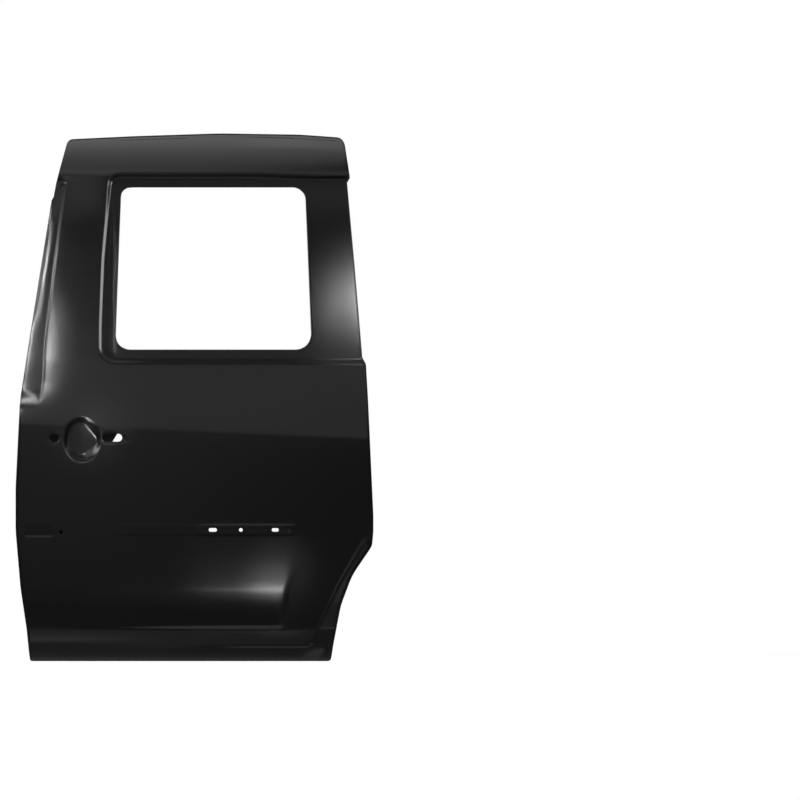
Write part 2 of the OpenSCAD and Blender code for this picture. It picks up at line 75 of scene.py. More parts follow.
# %% [markdown]
# ## The section of the side
# Everything below is in millimetres, from the lowest corner of the door's box: x runs rearwards,
# y into the van and z upwards. The numbers are those of a body drawing, so they stay readable,
# and each mesh is turned into metres at the very end.
#
# A car body is first drawn as a section: how far inboard the sheet lies at each height. Here it
# is a row of stations, and a moving average rounds them off, as the large radii of a tool do.

# %% Heights and depths of the side
swage_z, swage_y = 180, 20
crease_z = 566
belt_z, belt_y = 742, 27
header_z, header_y = 1186, 160
roof_y = 300
heights = np.arange(-40.0, door_h + 25)


def section():
    """Heights and depths of the outer face, from the bottom hem to the roof edge."""
    t = np.linspace(0, 1, 13)
    low = [(-40, 31), (0, 28), (30, 27), (44, 28.4), (66, 30.4), (80, 31.6), (109, 28.3), (145, 23.4)]
    side = np.c_[swage_z + t * (crease_z - swage_z), swage_y * (1 - t) ** 1.7]
    rise = np.c_[crease_z + t * (belt_z - crease_z), belt_y * t ** 1.15]
    lean = np.c_[belt_z + t * (header_z - belt_z), belt_y + (header_y - belt_y) * t * (0.8 + 0.2 * t)]
    roof = np.c_[header_z + t * (door_h - header_z), header_y + (roof_y - header_y) * t ** 1.55]
    past = roof[-1] + 3 * (roof[-1] - roof[-2])
    return np.vstack([low, side, rise[1:], lean[1:], roof[1:], past[None]])


def softened(values, width):
    """A moving average over a width, which is an odd number of the values."""
    weights = np.hanning(width)
    padded = np.pad(values, width // 2, mode="reflect", reflect_type="odd")
    return np.convolve(padded, weights / weights.sum(), mode="valid")


smooth = softened(np.interp(heights, *section().T), 15)
tilt = np.gradient(smooth)


def side_y(z):
    """How far inboard the side lies at a height."""
    return np.interp(z, heights, smooth)


def slant(z):
    """How much further apart two sheets stand along y than across, where the side leans."""
    return np.hypot(1, np.interp(z, heights, tilt))


print(f"The side leans in by {side_y(door_h - 5) - side_y(crease_z):.0f} mm from crease to roof")

# %% [markdown]
# ## Rounded outlines
# A pressed part is full of rounded outlines: the door itself, the window, the recess round the
# glass. Each is written as a few corners with a radius, as on a drawing, and a short function
# turns the corners into points. An arc gets a point every few degrees, so a small radius stays
# cheap and a large one stays round.

# %% Corners into points
arc_step = 9


def rounded(corners, closed=True):
    """Points of an outline of [x, z, radius] corners."""
    pts = np.array([c[:2] for c in corners], float)
    out = []
    for i, (_, _, r) in enumerate(corners):
        p = pts[i]
        if r <= 0 or (not closed and i in (0, len(corners) - 1)):
            out.append(p)
            continue
        a = p - pts[i - 1]
        b = pts[(i + 1) % len(pts)] - p
        a /= np.linalg.norm(a)
        b /= np.linalg.norm(b)
        turn = math.atan2(a[0] * b[1] - a[1] * b[0], a @ b)
        arm = np.array([-a[1], a[0]]) * math.copysign(r, turn)
        centre = p - a * r * math.tan(abs(turn) / 2) + arm
        steps = max(1, math.ceil(abs(math.degrees(turn)) / arc_step))
        for w in np.linspace(0, turn, steps + 1):
            c, s = math.cos(w), math.sin(w)
            out.append(centre - np.array([c * arm[0] - s * arm[1], s * arm[0] + c * arm[1]]))
    return np.array(out)


def box_path(x0, z0, x1, z1, r):
    """The corners of a box, all with the same radius."""
    return [[x0, z0, r], [x1, z0, r], [x1, z1, r], [x0, z1, r]]


print(len(rounded(box_path(0, 0, 100, 60, 12))), "points make a box with round corners")

# %% [markdown]
# ## The distance from an outline
# A pressed step has a wall of the same width all along. A bevel could make one such wall, but
# walls that cross each other would tear it. The simplest way is the distance from the outline,
# worked out for every point of the grid at once: a soft ramp of that distance is the wall. A
# bead is the same with the distance from an open line.


# %% Distances
def nearest(line, x, z, closed=True):
    """Distance from each point to a line of points."""
    ends = np.roll(line, -1, axis=0) if closed else line[1:]
    starts = line if closed else line[:-1]
    best = np.full(x.shape, 1e9)
    for (ax, az), (bx, bz) in zip(starts, ends):
        dx, dz = bx - ax, bz - az
        size = dx * dx + dz * dz
        if size < 1e-12:
            continue
        t = np.clip(((x - ax) * dx + (z - az) * dz) / size, 0, 1)
        best = np.minimum(best, np.hypot(x - ax - t * dx, z - az - t * dz))
    return best


def inside(line, x, z):
    """True where a point lies inside a closed outline."""
    odd = np.zeros(x.shape, bool)
    for (ax, az), (bx, bz) in zip(line, np.roll(line, -1, axis=0)):
        if az == bz:
            continue
        crosses = (az > z) != (bz > z)
        odd ^= crosses & (x < ax + (bx - ax) * (z - az) / (bz - az))
    return odd


def depth_in(line, x, z, reach=60.0):
    """How far inside an outline a point lies, negative outside and never past the reach."""
    out = np.full(x.shape, -reach)
    near = (x > line[:, 0].min() - reach) & (x < line[:, 0].max() + reach)
    near &= (z > line[:, 1].min() - reach) & (z < line[:, 1].max() + reach)
    xs, zs = x[near], z[near]
    d = nearest(line, xs, zs)
    out[near] = np.where(inside(line, xs, zs), d, -d)
    return out


box = box_path(0, 0, 100, 60, 12)
middle = depth_in(rounded(box), np.array([50.0]), np.array([30.0]))[0]
print(f"The middle of a box of 100 by 60 mm lies {middle:.0f} mm inside")

# %% [markdown]
# ## Walls, ridges and bosses
# A press leaves nothing sharp: each wall starts and ends softly. So every form is built on one
# soft ramp. A step, a ridge along a line and a round boss are then a line or two each, and they
# can be added to each other in any order.


# %% Steps, ridges and bosses
def ease(t):
    """Runs from 0 to 1 as t does, with a soft start and a soft end."""
    t = np.clip(t, 0, 1)
    return t * t * (3 - 2 * t)


def step(corners, run, x, z):
    """1 inside an outline and 0 outside, with a wall of the given run centred on it."""
    return ease(0.5 + depth_in(rounded(corners), x, z) / run)


def ridge(line, width, x, z):
    """A rounded ridge along an open line, 1 on the line and 0 at half its width."""
    line = np.array(line, float)
    lo, hi = line.min(0) - width, line.max(0) + width
    out = np.zeros(x.shape)
    near = (x > lo[0]) & (x < hi[0]) & (z > lo[1]) & (z < hi[1])
    d = nearest(line, x[near], z[near], closed=False)
    out[near] = 0.5 + 0.5 * np.cos(np.pi * np.clip(2 * d / width, 0, 1))
    return out


def knob(cx, cz, r, run, x, z):
    """A round boss with a flat top of radius r and a rounded side."""
    return ease((r + run - np.hypot(x - cx, z - cz)) / run)


across_wall = np.array([-4.0, -2, 0, 2, 4])
print("Across its wall a step rises", step(box, 8, across_wall, np.full(5, 30.0)).round(2))


# %% [markdown]
# ## The door's outline
# The front edge, the rear edge and the roof edge are three open lines, each drawn upwards or
# rearwards. They are kept apart, because the grid of a pressing runs from one edge to the other
# and follows both. Joined end to end, their corners make the closed outline of the door.

# %% The edges
front_corners = [[35, 0, 6], [27, 79, 40], [12, 180, 200], [0, 321, 200], [0, 427, 300], [10.6, 642, 300],
                 [49, 888, 300], [88, 1134, 3], [92, 1136, 3], [98, 1170, 20], [124, 1285, 16]]
rear_corners = [[776, 0, 8], [781, 37, 100], [800, 137, 150], [828, 212, 150], [877, 284, 18],
                [880, 320, 60], [880, 358, 150], [867, 642, 150], [862, 730, 14], [853, 746, 5],
                [834, 973, 300], [816, 1177, 4], [823, 1190, 4], [810, 1289, 18]]
roof_corners = [[290, 1293, 300], [500, 1300, 600], [700, 1297, 300]]
front_edge = rounded(front_corners, closed=False)
rear_edge = rounded(rear_corners, closed=False)
roof_edge = rounded([front_corners[-1], *roof_corners, rear_corners[-1]], closed=False)
door_outline = rounded([front_corners[0], *rear_corners, *roof_corners[::-1], *front_corners[:0:-1]])

window_front, window_rear = 245, 728
window_low, window_high = 766, 1166
window_corners = [[window_front, window_low, 37], [window_rear, window_low, 40],
                  [window_rear - 16, window_high, 30], [window_front + 15, window_high, 22]]
window_line = rounded(window_corners)


def edge_at(line, z):
    """Where an edge that climbs the door stands at a height."""
    return np.interp(z, line[:, 1], line[:, 0])


def roof_at(x):
    """The height of the roof edge at a place along the door."""
    return np.interp(x, roof_edge[:, 0], roof_edge[:, 1])


print(f"{len(door_outline)} points go round the door and {len(window_line)} round the window")

# %% [markdown]
# ## The outer face
# The side of a van has a soft crease at the shoulder, leans in above the belt and curls over to
# the roof. Into that large shape the press sinks a recess for the bonded glass, a ledge up the
# front pillar, the handle's cup and the seat of a rub strip, and it flares the panel ahead of
# the wheel arch. Their outlines come first.

# %% Outlines in the outer sheet
recess = [[207.5, 736, 40], [980, 736, 0], [980, 1191, 0], [720, 1191, 100], [600, 1196, 100],
          [233, 1196, 26], [214.5, 990, 300], [208.5, 830, 200]]
ledge = [[-100, 615, 0], [60, 630, 18], [69, 690, 60], [74, 790, 200], [97, 986, 300], [118, 1150, 100],
         [124, 1184, 8], [-100, 1184, 0]]
pocket = box_path(-100, 1167, 117, 1192, 11)
arch = [[-100, -100, 0], [980, -100, 0], [980, 296, 0], [858, 296, 6], [796, 190, 150], [752, 99, 120],
        [728, 35, 24], [-100, 35, 0]]
strip_front = box_path(24, 307, 92, 340, 5)
strip_line = box_path(250, 310, 690, 336, 5)
strip_rear = box_path(466, 310, 682, 336, 6)
handle_slot = box_path(213, 540, 262, 559, 9.3)
handle_x, handle_z = 165.5, 545.5
cup_rx, cup_rz, cup_d = 45, 56, 11
pivot = [[96, 548], [97, 548]]

# How steeply the flare stands out at each height, and how far out that brings it
flare_slope = [(76, 0), (78, -1.1), (83, -1.1), (88, -0.1), (125, 0), (133, 0.04), (148, 0.075),
               (163, 0.12), (171, 0.15), (176, 0.21), (182, 0.13), (193, 0.095), (208, 0.068),
               (237, 0.033), (270, 0)]
flare = np.cumsum(np.interp(heights, *zip(*flare_slope))[::-1])[::-1]
flare = np.clip(softened(flare, 7), 0, None)
print(f"The flare stands out by {flare.max():.1f} mm")

# %% [markdown]
# ## What the press does to the outer sheet
# Each form is a short function of x and z that says how far it sinks the sheet, or raises it.
# The outer face is their sum on top of the section, so that a form can be read, moved or left
# out by itself. A mesh that is modelled by hand would hold the same forms all mixed together.


# %% The forms of the outer sheet
def bow(x):
    """The sheet turns inboard near its front and rear edges."""
    to_front = np.clip((110 - x) / 110, 0, 1)
    to_rear = np.clip((x - 690) / 190, 0, 1)
    return 4.5 * to_front ** 2 + 6.5 * to_rear ** 2.2


def recess_sinks(x, z):
    """The recess round the glass is steep in front and above, and hardly a step below."""
    into = depth_in(rounded(recess), x, z)
    at_rear = ease((x - 690) / 120)
    at_top = ease((z - 1080) / 100)
    at_foot = 1 - ease((z - 760) / 380)
    past_pillar = ease((x - 215) / 130)
    depth = 5.5 + 3 * at_top - 2.5 * at_foot * (past_pillar - at_rear)
    wall = 13 + 3 * (1 - 2 * at_rear) * ease((z - 1150) / 30)
    second = 2 * ease(0.5 + (into - 14) / 6) * (1 - ease((x - 236) / 16))
    return (depth * ease(0.5 + into / wall) + second) * slant(z)


def ledge_sinks(x, z):
    """The ledge's floor rolls over at the front edge and its foot climbs back to the panel. The
    sheet beside the ledge turns towards it."""
    from_ledge = -depth_in(rounded(ledge), x, z, 90)
    from_front = x - edge_at(front_edge, z)
    climb = np.clip((676 - z) / 47, 0, 1) ** 1.2
    at_foot = ease((675 - z) / 35)
    roll_run = 23 + 22 * at_foot
    roll_slope = 0.48 - 0.14 * at_foot
    strong = (0.18 + 0.82 * (ease((z - 800) / 90) + at_foot)) * (1 - ease((z - 1040) / 80))
    roll = roll_slope * roll_run / 2 * np.clip(1 - from_front / roll_run, 0, 1) ** (2 - at_foot)
    beside = 7.4 * ease((z - 600) / 90) * (1 - 0.6 * ease((z - 820) / 130))
    floor_sinks = (5 * (1 - climb) + strong * roll) * ease(0.5 - from_ledge / 6)
    return floor_sinks + beside * np.clip(1 - from_ledge / 84, 0, 1) ** 2.1


def arch_sinks(x, z):
    """The band along the wheel arch is set in, and it turns further in towards the edge."""
    turned = 0.2 * np.clip(depth_in(rounded(arch), x, z) - 3, 0, 32) * ease((x - 690) / 60)
    return 2.5 * ease((x - 380) / 200) * step(arch, 8, x, z) + turned


def strip_sinks(x, z):
    """The rub strip has a sunk seat in front, and a long raised one with a dimple behind."""
    sunk = 1.5 * step(strip_front, 3, x, z) * np.clip((336 - z) / 26, 0, 1)
    raised = 0.35 * step(strip_line, 5, x, z) + 1.1 * step(strip_rear, 5, x, z)
    return sunk - raised + 2.2 * np.exp(-(((x - 672) / 3) ** 2 + ((z - 324) / 8) ** 2))


def flare_rises(x, z):
    """The flare grows from the front, and ends at a low line and at the wheel arch."""
    grown = ease((x - 60) / 600) * (1 - ease((x - 657 - 0.2 * (z - 169)) / 26))
    return grown * np.interp(z, heights, flare)


def cup_sinks(x, z, panel):
    """The handle's cup is a scoop between the pivot's hole and the slot. Two parts of its wall
    slope gently, and its floor runs straight on where the panel has its crease."""
    over, up = x - handle_x, z - handle_z
    round_it = np.arctan2(up, over)
    gentle = sum(np.clip(np.cos(round_it + turn), 0, 1) ** 3 for turn in (1.1, -0.9))
    wall = np.clip((1.03 - np.hypot(over / cup_rx, up / cup_rz)) / (0.16 + 0.3 * gentle), 0, 1)
    straight = np.interp(z, [480, 620], side_y([480, 620]))
    depth = cup_d - 0.1 * up - 0.0012 * (up ** 2 + over ** 2) + straight - panel
    return depth * (0.8 * wall + 0.2 * ease(wall))


over_glass = recess_sinks(np.array([470.0]), np.array([window_high + 10.0]))[0]
print(f"Over the window the recess is {over_glass:.0f} mm deep")


# %% [markdown]
# ## The sum of the forms
# The smaller ones are added where the sum is made: a flat along the roof edge, the pocket above
# the ledge, the round band of the sill, the seats of the handle's pivot and slot, and the edge,
# which turns in all round before it folds.


# %% The outer face
def outer_y(x, z):
    """How far inboard the outer face lies at each point."""
    crease_tilt = 20 * (x - 440) / 440 * np.exp(-((z - crease_z) / 60) ** 2)
    panel = side_y(z + crease_tilt)
    y = panel + bow(x) + recess_sinks(x, z) + ledge_sinks(x, z) + arch_sinks(x, z)
    y += strip_sinks(x, z) - flare_rises(x, z) + cup_sinks(x, z, panel)
    roof_flat = 0.22 * np.clip(z - roof_at(x) + 33, 0, 40) * ease((x - 500) / 160)
    sill_band = 1.5 * (1 - ease((x - 100) / 300)) * np.exp(-(((z - 46) / 12) ** 2))
    pivot_seat = 1.5 * ridge(pivot, 44, x, z)
    slot_seat = 2.5 * ease(1 + depth_in(rounded(handle_slot), x, z, 20) / 6)
    y += roof_flat + 7 * step(pocket, 6, x, z) - sill_band + pivot_seat + slot_seat
    turn_in = 2.4 - 1.4 * ease((z - 560) / 60) - 1.4 * ease((40 - z) / 30)
    return y + turn_in * np.clip(1 - depth_in(door_outline, x, z) / 8, 0, 1) ** 2


in_cup, beside_cup = outer_y(np.array([handle_x, handle_x + 120]), np.array([handle_z, handle_z]))
print(f"The cup's floor lies {in_cup - beside_cup:.0f} mm behind the panel beside it")


# %% [markdown]
# ## A grid that follows the door
# A plain square grid would meet the slanted edges in steps. Here the columns of the grid lean
# with the edges and with the window's sides, as the lines of a good mesh do, and they stand
# closer where the sheet has a step.

# %% Columns and rows that follow the door
plan = [0, 69, 207.5, window_front, window_rear, 880]


def spread(*stretches):
    """Places along one direction, as (from, to, how many gaps) for each stretch."""
    places = [stretches[0][0]]
    for a, b, n in stretches:
        places += [a + (b - a) * k / n for k in range(1, n + 1)]
    return np.array(places, float)


def guides(z, rim):
    """Where the lines that the columns follow stand at one height, in the order of the plan."""
    up = (np.clip(z, window_low, window_high) - window_low) / (window_high - window_low)
    ledge_x = np.interp(z, [680, 790, 986, 1150, 1184, door_h], [66, 73, 97, 118, 124, 150])
    recess_x = np.interp(z, [736, 830, 990, 1196], [207.5, 208.5, 214.5, 233])
    return [edge_at(front_edge, z) + rim, ledge_x, recess_x, window_front + up * 15,
            window_rear - up * 16, edge_at(rear_edge, z) - rim]


print("Halfway up, the columns follow", [int(x) for x in guides(door_h / 2, 0)])

# %% [markdown]
# ## Round corners in a square grid
# Where a column and a row both end, the grid has a square corner. Its points are drawn towards
# the centre of the corner's arc, so that each square ring of them becomes a round one. That
# keeps the grid whole, where a cut would leave slivers.

# %% Laying the grid
door_corners = [([35, 0, 6], -1, -1), ([776, 0, 8], 1, -1), ([124, 1285, 17], -1, 1), ([810, 1289, 19], 1, 1)]
# The rows below this height draw closer together, to make room for the rim
squeeze_z = 30


def pull_corner(x, z, corner, side, up, rim=0.0, fade=0.0):
    """Draws a square corner onto an arc. side and up say which way the corner points."""
    cx, cz = corner[0] - side * corner[2], corner[1] - up * corner[2]
    dx, dz = (x - cx) * side, (z - cz) * up
    square = np.maximum(dx, dz)
    keep = 1 - ease((square - corner[2] + rim) / fade) if fade else 1.0
    pull = 1 + (square / np.maximum(np.hypot(dx, dz), 1e-6) - 1) * keep
    scale = np.where((dx > 0) & (dz > 0), pull, 1)
    return cx + (x - cx) * scale, cz + (z - cz) * scale


def lay(columns, rows, rim):
    """x and z of every grid point, rows first. The grid stops short of the edge by the rim."""
    x = np.array([np.interp(columns, plan, guides(z, rim)) for z in rows])
    rows_z = np.broadcast_to(rows[:, None], x.shape)
    share = np.clip((rows_z - header_z) / (door_h - header_z), 0, 1)
    z = np.where(rows_z > header_z, header_z + (roof_at(x) - rim - header_z) * share, rows_z)
    z = np.where(rows_z < squeeze_z, rim + rows_z * (squeeze_z - rim) / squeeze_z, z)
    for corner, side, up in door_corners:
        x, z = pull_corner(x, z, corner, side, up, rim)
    for corner, side, up in zip(window_corners, (-1, 1, 1, -1), (-1, -1, 1, 1)):
        x, z = pull_corner(x, z, corner, side, up, fade=24)
    return x, z


# %% [markdown]
# ## From grid to sheet
# `create_grid` gives the flat blank. Its points move to the pressed shape, and those that stand
# in the window are dropped. The blank's columns and rows are evenly spaced, so the place of a
# point tells which column and row it belongs to.


# %% Blank and press
def pressed(columns, rows, rim, height):
    """A grid trimmed to the door and its window, and pressed to the heights of a function."""
    bm = bmesh.new()
    nx, nz = len(columns) - 1, len(rows) - 1
    bmesh.ops.create_grid(bm, x_segments=nx, y_segments=nz, size=1)
    cols = np.array([round((v.co.x + 1) / 2 * nx) for v in bm.verts])
    lines = np.array([round((v.co.y + 1) / 2 * nz) for v in bm.verts])
    x, z = lay(columns, rows, rim)
    x, z = x[lines, cols], z[lines, cols]
    for v, co in zip(bm.verts, np.c_[x, height(x, z), z]):
        v.co = co
    across, up, slack = columns[cols], rows[lines], 0.1
    gone = (across > window_front + slack) & (across < window_rear - slack)
    gone &= (up > window_low + slack) & (up < window_high - slack)
    bmesh.ops.delete(bm, geom=[v for v, g in zip(bm.verts, gone) if g], context="VERTS")
    return bm


def face_side(bm, place, side):
    """Turns all faces, so that the one nearest to a place looks inboard for 1, outboard for -1."""
    bmesh.ops.recalc_face_normals(bm, faces=bm.faces)
    face = min(bm.faces, key=lambda f: (f.calc_center_median() - Vector(place)).length)
    if face.normal.y * side < 0:
        bmesh.ops.reverse_faces(bm, faces=bm.faces)


# %% [markdown]
# ## Folding the rim
# A hem is made on a press in steps: the edge is bent up, then over, then flat. The mesh gets its
# hem in the same way. The rim is found by walking along the edges that have only one face, and
# `extrude_edge_only` pushes it on again and again, along the outward direction at each point.


# %% The rim and its fold
def outline_edges(bm):
    """The edges of the sheet's outer rim, and the outward direction at each of its points."""
    rim = [e for e in bm.edges if e.is_boundary]
    start = min((v for e in rim for v in e.verts), key=lambda v: v.co.z + 0.001 * v.co.x)
    links = {}
    for e in rim:
        for w in e.verts:
            links.setdefault(w, []).append(e)
    loop, ring, v, came = [], [], start, None
    while not loop or v is not start:
        ring.append(v)
        came = next(e for e in links[v] if e is not came)
        loop.append(came)
        v = came.other_vert(v)
    pts = np.array([[w.co.x, w.co.z] for w in ring])
    after = np.roll(pts, -1, axis=0)
    way = after - np.roll(pts, 1, axis=0)
    way /= np.linalg.norm(way, axis=1)[:, None]
    area = np.sum(pts[:, 0] * after[:, 1] - after[:, 0] * pts[:, 1])
    out = np.c_[way[:, 1], -way[:, 0]] * math.copysign(1, area)
    return loop, {w: Vector((n[0], 0, n[1])) for w, n in zip(ring, out)}


def fold(bm, edges, out, steps):
    """Pushes a rim on in steps, each so far outwards and inboard of where the rim began."""
    base = {v: v.co.copy() for v in out}
    for outward, inboard in steps:
        made = bmesh.ops.extrude_edge_only(bm, edges=edges)["geom"]
        new = {g for g in made if isinstance(g, bmesh.types.BMVert)}
        came_from = {v: next(w for e in v.link_edges for w in e.verts if w in out) for v in new}
        base = {v: base[old] for v, old in came_from.items()}
        out = {v: out[old] for v, old in came_from.items()}
        for v in new:
            v.co = base[v] + out[v] * outward + Vector((0, inboard, 0))
        edges = [g for g in made if isinstance(g, bmesh.types.BMEdge) and all(w in new for w in g.verts)]


# %% [markdown]
# ## Metres and thickness
# A piece is drawn in millimetres from the door's corner, and `translate` and `scale` bring it
# into the frame in metres. Solidify then gives a sheet its thickness. Modifiers are applied at
# once, so that a finished piece is a plain mesh at the origin.


# %% Finishing a sheet
def in_metres(bm, name):
    """Makes a mesh in metres in the frame out of a bmesh in millimetres from the door's corner."""
    bmesh.ops.translate(bm, verts=bm.verts, vec=Vector(shift))
    bmesh.ops.scale(bm, verts=bm.verts, vec=(MM, MM, MM))
    mesh = bpy.data.meshes.new(name)
    bm.to_mesh(mesh)
    bm.free()
    return mesh


def add_object(mesh):
    """An object with a mesh's name, in the scene."""
    obj = bpy.data.objects.new(mesh.name, mesh)
    bpy.context.collection.objects.link(obj)
    return obj


def finish_mesh(name, bm, material):
    """A smooth object that rides on the door."""
    mesh = in_metres(bm, name)
    mesh.shade_smooth()
    mesh.materials.append(material)
    obj = add_object(mesh)
    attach(obj, "root")
    return obj


def bake(obj):
    """Applies an object's modifiers."""
    graph = bpy.context.evaluated_depsgraph_get()
    made = bpy.data.meshes.new_from_object(obj.evaluated_get(graph))
    old = obj.data
    name = old.name
    obj.modifiers.clear()
    obj.data = made
    bpy.data.meshes.remove(old)
    made.name = name


def thicken(obj, thickness):
    """Gives a sheet its thickness, away from the side that its faces look to."""
    wall = obj.modifiers.new("Sheet", "SOLIDIFY")
    wall.thickness = thickness * MM
    wall.offset = -1
    wall.use_even_offset = False
    bake(obj)


def print_triangles(obj):
    print(f"{obj.name}: {sum(len(p.vertices) - 2 for p in obj.data.polygons)} triangles")


# %% [markdown]
# ## Punching holes
# In the works the holes are punched after the pressing, and so they are here: a prism with the
# outline of each hole is cut out of the finished sheet. A hole is then round whatever the grid
# around it looks like, and its edge shows the sheet's thickness.


# %% Holes
def punch(obj, outlines):
    """Cuts holes with the given outlines through a sheet."""
    near_y, far_y = -60, 400
    bm = bmesh.new()
    for line in outlines:
        face = bm.faces.new([bm.verts.new((x, near_y, z)) for x, z in line])
        made = bmesh.ops.extrude_face_region(bm, geom=[face])["geom"]
        far = [g for g in made if isinstance(g, bmesh.types.BMVert)]
        bmesh.ops.translate(bm, verts=far, vec=(0, far_y - near_y, 0))
    bmesh.ops.recalc_face_normals(bm, faces=bm.faces)
    mesh = in_metres(bm, "punch")
    tool = add_object(mesh)
    cut = obj.modifiers.new("Holes", "BOOLEAN")
    cut.operation = "DIFFERENCE"
    cut.solver = "MANIFOLD"
    cut.object = tool
    bpy.context.view_layer.update()
    bake(obj)
    bpy.data.objects.remove(tool)
    bpy.data.meshes.remove(mesh)


def ring_of(cx, cz, r, count=32):
    """The outline of a round hole."""
    a = np.linspace(0, 2 * math.pi, count, endpoint=False)
    return np.c_[cx + r * np.cos(a), cz + r * np.sin(a)]


def slot_of(x, z, length, height):
    """The outline of a slot with round ends."""
    r = height / 2 - 0.2
    return rounded(box_path(x - length / 2, z - height / 2, x + length / 2, z + height / 2, r))


print(len(ring_of(0, 0, 5)), "points make a round hole and", len(slot_of(0, 0, 20, 9)), "make a slot")


# %% [markdown]
# ## Finishes
# The primer is a thin dipped coat, so it is almost black, a little glossy and slightly uneven:
# it runs and pools by a few hundredths of a millimetre, which shows only in the reflections. A
# noise drives the roughness within a narrow range, and a much finer one drives a faint bump.


# %% Materials and their textures
def shader_of(mat):
    return mat.node_tree.nodes["Principled BSDF"]


def new_material(name, colour, roughness, specular=0.5):
    mat = bpy.data.materials.new(name)
    mat.use_nodes = True
    shader = shader_of(mat)
    shader.inputs["Base Color"].default_value = (*colour, 1)
    shader.inputs["Roughness"].default_value = roughness
    shader.inputs["Specular IOR Level"].default_value = specular
    return mat


def noise(mat, scale, detail):
    """The grey of a noise on the object's own coordinates."""
    nodes, links = mat.node_tree.nodes, mat.node_tree.links
    coords = nodes.new("ShaderNodeTexCoord")
    tex = nodes.new("ShaderNodeTexNoise")
    tex.inputs["Scale"].default_value = scale
    tex.inputs["Detail"].default_value = detail
    links.new(coords.outputs["Object"], tex.inputs["Vector"])
    return tex.outputs["Fac"]


def ramp(mat, source, low, high, socket):
    """Maps a texture's grey onto a range of values and feeds a socket of the shader."""
    node = mat.node_tree.nodes.new("ShaderNodeMapRange")
    # A noise hardly ever leaves this range
    node.inputs["From Min"].default_value = 0.15
    node.inputs["From Max"].default_value = 0.85
    node.inputs["To Min"].default_value = low
    node.inputs["To Max"].default_value = high
    mat.node_tree.links.new(source, node.inputs["Value"])
    mat.node_tree.links.new(node.outputs["Result"], socket)


def bump(mat, source, height):
    """Raises the surface by a texture's grey, up to a height in millimetres."""
    node = mat.node_tree.nodes.new("ShaderNodeBump")
    node.inputs["Distance"].default_value = height * MM
    mat.node_tree.links.new(source, node.inputs["Height"])
    mat.node_tree.links.new(node.outputs["Normal"], shader_of(mat).inputs["Normal"])


# %% [markdown]
# ## Which piece has which finish
# The sheets and plates are in the same primer. The weld nuts hold a little less of it, so they
# are a shade greyer. The seam sealer is a pale rubbery paste, and the pads between the outer
# sheet and its stiffener are a dark one. The frame's record names the finish of every piece.

# %% The finishes
primer = new_material("black_primer", (0.0015, 0.0015, 0.0016), 0.29, 0.3)
ramp(primer, noise(primer, 6, 2), 0.28, 0.30, shader_of(primer).inputs["Roughness"])
bump(primer, noise(primer, 260, 2), 0.02)
nut_primer = new_material("black_primer_on_nuts", (0.012, 0.012, 0.013), 0.3)
sealer = new_material("pale_sealer", (0.42, 0.42, 0.41), 0.55)
mastic = new_material("dark_mastic", (0.01, 0.01, 0.01), 0.6)
finishes = {"primed_steel": primer, "primed_nuts": nut_primer, "seam_sealer": sealer, "mastic": mastic}
for sub in frame["record"]["subparts"]:
    obj = bpy.data.objects.get(sub["node"])
    if obj:
        obj.data.materials.clear()
        obj.data.materials.append(finishes[sub["material_slot"]])

# %% [markdown]
# ## The outer sheet
# It is one pressing, and its rim is folded right round the inner sheets. The fold is a half
# circle three sheets thick, and the flat of it lies against the inner pressing. The rows stand
# closest at the handle's cup, the strip's seat and the flare, where the sheet bends most.

# %% Rows, columns and fold of the outer sheet
skin_t = 1.5
panel_t = 1.5
hem_w = 8
turn_r = (2 * skin_t + panel_t) / 2
hem_end = hem_w - turn_r
outer_columns = spread((0, 12, 4), (12, 60, 16), (60, 77, 12), (77, 118, 10), (118, 199, 26),
                       (199, 216.5, 11), (216.5, 245, 10), (245, 470, 15), (470, 620, 17), (620, 700, 24),
                       (700, 728, 4), (728, 868, 20), (868, 880, 4))
outer_rows = spread((0, 12, 4), (12, 30, 3), (30, 90, 20), (90, 150, 8), (150, 200, 16), (200, 304, 11),
                    (304, 340, 17), (340, 476, 10), (476, 606, 42), (606, 640, 12), (640, 766, 32),
                    (766, 776, 3), (776, 860, 9), (860, 1080, 18), (1080, 1160, 9), (1160, 1166, 3),
                    (1166, 1212, 22), (1212, 1262, 8), (1262, 1288, 5), (1288, door_h, 4))
print(f"The outer sheet is a grid of {len(outer_columns)} by {len(outer_rows)} points")


# %% The outer sheet
def outer_sheet():
    bm = pressed(outer_columns, outer_rows, turn_r, outer_y)
    edges, out = outline_edges(bm)
    bends = np.radians([36, 72, 108, 144, 180])
    arc = [(turn_r * math.sin(a), turn_r - turn_r * math.cos(a)) for a in bends]
    fold(bm, edges, out, arc + [(-hem_end / 2, 2 * turn_r), (-hem_end, 2 * turn_r)])
    face_side(bm, (400, 10, 400), -1)
    return finish_mesh("outer_sheet", bm, primer)


skin = outer_sheet()
thicken(skin, skin_t)
strip_holes = [slot_of(485, 323, 20, 9), slot_of(554, 323, 9, 8.8), slot_of(638.5, 323, 17, 8.5),
               ring_of(112, 317, 5.5, count=20)]
handle_holes = [ring_of(96, 548, 11), slot_of(237.5, 549.5, 49, 19)]
punch(skin, strip_holes + handle_holes)
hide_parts("outer_skin")
print_triangles(skin)

# %% [markdown]
# ## The inner pressings
# Behind the outer sheet stands a deep pan: its floor carries the lock and the roller arms, its
# walls make the shell stiff, and its rim lies in the fold. It is pressed as two sheets, which are
# welded along an upright seam. The real one at the front is thicker; here both are the same. How
# far inboard they lie is again a sum of forms, and the walls at the edge and the window bring
# them down to the flanges that touch the outer sheet.

